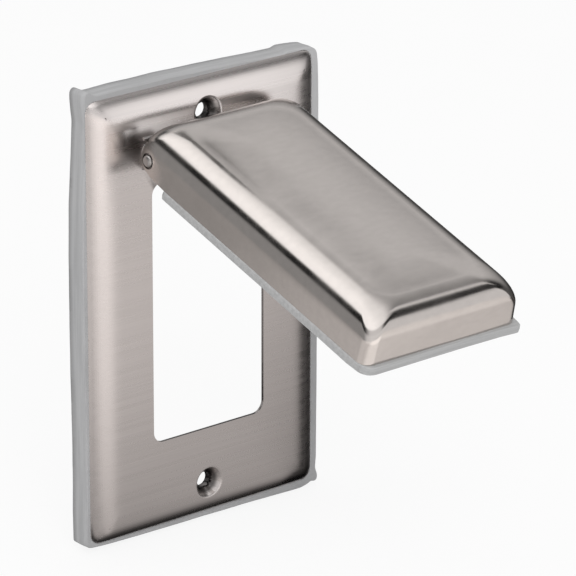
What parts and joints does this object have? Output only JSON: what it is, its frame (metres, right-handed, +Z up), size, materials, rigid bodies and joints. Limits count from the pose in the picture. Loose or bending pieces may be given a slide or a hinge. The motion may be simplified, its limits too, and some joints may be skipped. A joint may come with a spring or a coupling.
{
  "type": "receptacle cover",
  "caption": "Weather-resistant receptacle cover: a drawn steel plate with a device opening, a foam gasket to the wall and a hinged, gasketed lid.",
  "frame": {"origin": "centre of the plate and of its opening, on the wall surface that the foam gasket's back rests on", "axes": "+X right as seen from the front, +Y into the wall, +Z up; the front faces -Y"},
  "size_m": [0.0732, 0.0971, 0.1166],
  "materials": {
    "steel_sheet": "fine horizontal brush lines on drawn stainless sheet",
    "steel_wire": "bright drawn stainless wire and rod",
    "foam": "matt light grey closed-cell foam with cut edges"
  },
  "bodies": {
    "plate": {"cover_plate": "steel_sheet", "hinge_pin": "steel_wire", "torsion_spring": "steel_wire", "wall_gasket": "foam"},
    "lid": {"lid": "steel_sheet", "lid_gasket": "foam"}
  },
  "joints": [
    {"name": "lid_hinge", "type": "hinge", "parent": "plate", "child": "lid", "pos_m": [0, -0.015, 0.0426], "axis": [-1, 0, 0], "range_deg": [-72.8, 47], "deforming": ["torsion_spring"]}
  ]
}
